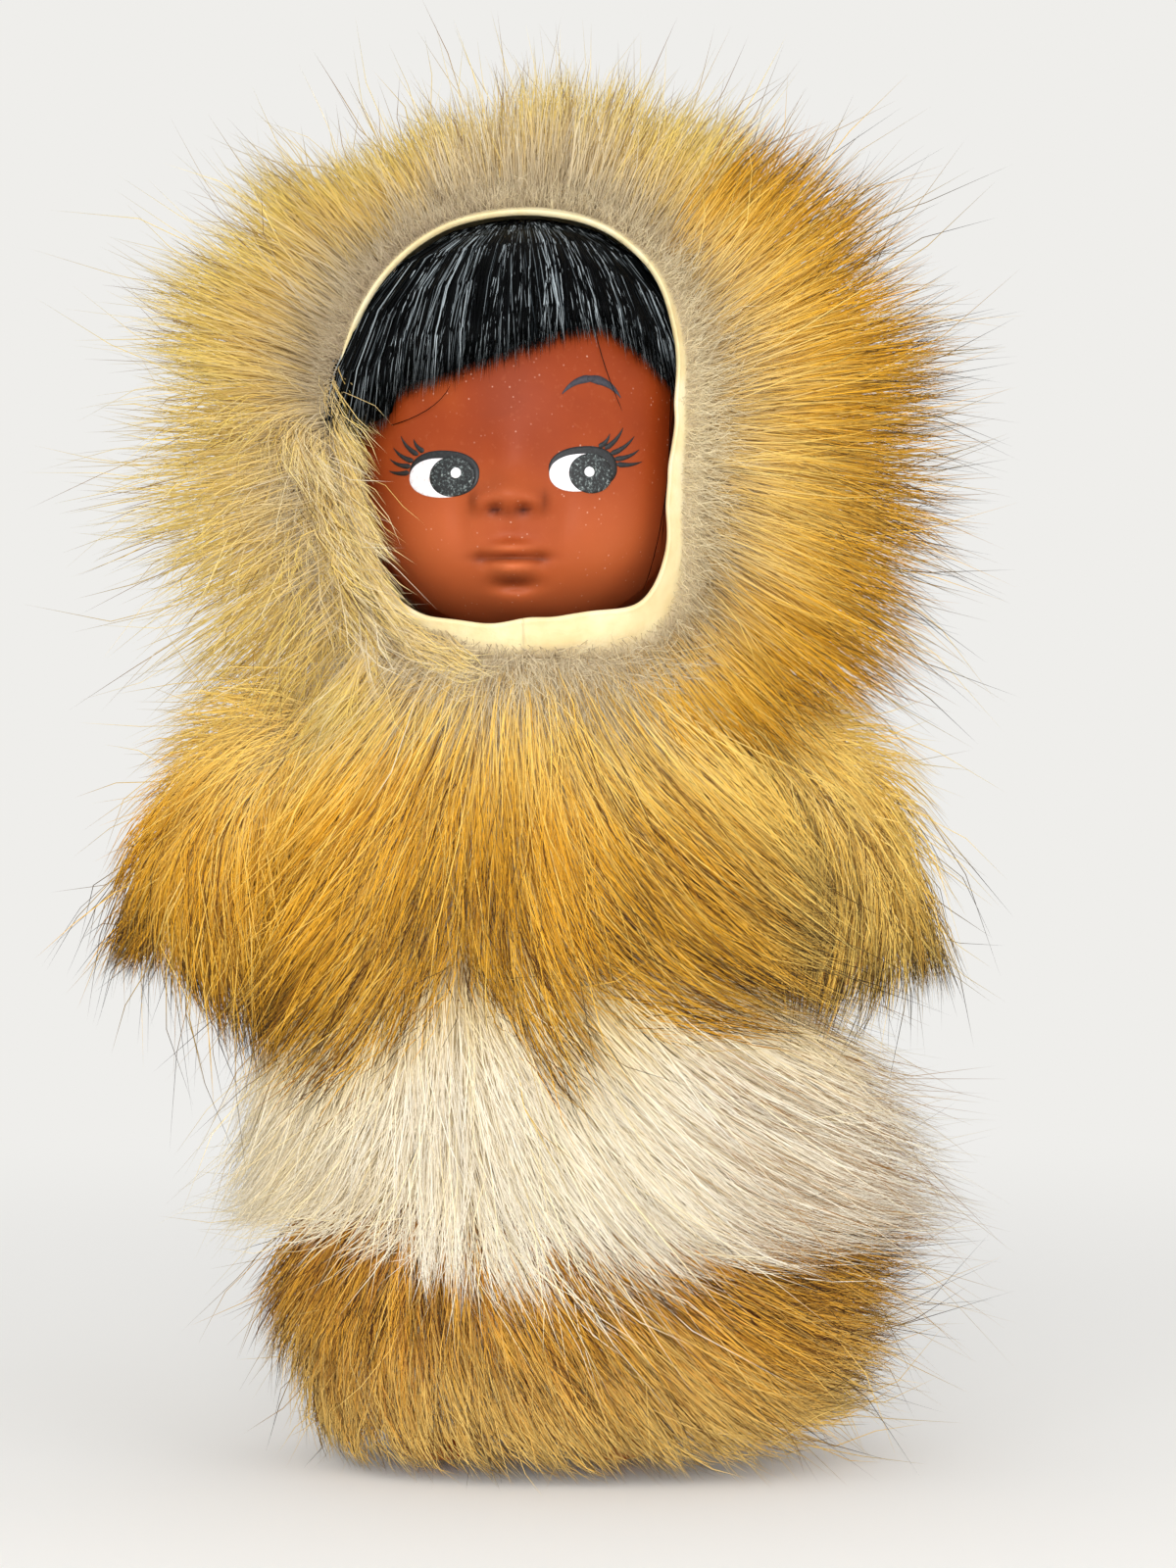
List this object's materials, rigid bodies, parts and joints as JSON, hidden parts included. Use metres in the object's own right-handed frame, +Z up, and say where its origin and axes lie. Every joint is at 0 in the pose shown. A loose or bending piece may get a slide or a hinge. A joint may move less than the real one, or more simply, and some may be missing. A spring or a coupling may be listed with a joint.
{
  "type": "fur-dressed doll",
  "caption": "Standing jointed vinyl doll with painted eyes and black rooted hair, in a hooded coat sewn from fox pelts.",
  "frame": {"origin": "under the middle of the standing doll, on the surface it stands on", "axes": "+Z up, the doll faces -Y and its own left side is +X"},
  "size_m": [0.178, 0.0999, 0.2861],
  "materials": {
    "vinyl_skin": "satin moulded vinyl, brown-red",
    "moulded_body": "satin moulded plastic",
    "nylon_hair": "straight black nylon hair with a grey sheen",
    "tanned_hide": "matt cream tanned skin",
    "straw_fur": "long pale straw fox fur over grey underfur",
    "gold_fur": "long golden brown fox fur with dark tips",
    "white_fur": "long cream white fox fur",
    "brown_fur": "long brown fox fur with dark tips"
  },
  "bodies": {
    "coat_and_torso": {"torso_front": "moulded_body", "torso_back": "moulded_body", "coat_hide_front": "tanned_hide", "coat_hide_back": "tanned_hide", "coat_fur_front": "gold_fur", "coat_fur_back": "gold_fur", "white_band_hide_front": "tanned_hide", "white_band_hide_back": "tanned_hide", "white_band_fur_front": "white_fur", "white_band_fur_back": "white_fur", "hem_band_hide_front": "tanned_hide", "hem_band_hide_back": "tanned_hide", "hem_band_fur_front": "brown_fur", "hem_band_fur_back": "brown_fur", "hood_hide_left": "tanned_hide", "hood_hide_right": "tanned_hide", "hood_fur_left": "gold_fur", "hood_fur_right": "straw_fur"},
    "head": {"head_shell": "vinyl_skin", "rooted_hair": "nylon_hair"},
    "left_arm": {"arm_left": "vinyl_skin", "sleeve_hide_left": "tanned_hide", "sleeve_fur_left": "gold_fur"},
    "right_arm": {"arm_right": "vinyl_skin", "sleeve_hide_right": "tanned_hide", "sleeve_fur_right": "gold_fur"},
    "left_leg": {"leg_left": "vinyl_skin"},
    "right_leg": {"leg_right": "vinyl_skin"}
  },
  "joints": [
    {"name": "neck_swivel", "type": "hinge", "parent": "coat_and_torso", "child": "head", "pos_m": [0, -0.008, 0.171], "axis": [0, 0, 1], "range_deg": [-20, 20]},
    {"name": "left_shoulder", "type": "hinge", "parent": "coat_and_torso", "child": "left_arm", "pos_m": [0.034, -0.008, 0.146], "axis": [-1, 0, 0], "range_deg": [-15, 60]},
    {"name": "right_shoulder", "type": "hinge", "parent": "coat_and_torso", "child": "right_arm", "pos_m": [-0.034, -0.008, 0.146], "axis": [-1, 0, 0], "range_deg": [-15, 60]},
    {"name": "left_hip", "type": "hinge", "parent": "coat_and_torso", "child": "left_leg", "pos_m": [0.0113, -0.008, 0.08], "axis": [-1, 0, 0], "range_deg": [-8, 6]},
    {"name": "right_hip", "type": "hinge", "parent": "coat_and_torso", "child": "right_leg", "pos_m": [-0.0113, -0.008, 0.08], "axis": [-1, 0, 0], "range_deg": [-8, 6]}
  ]
}
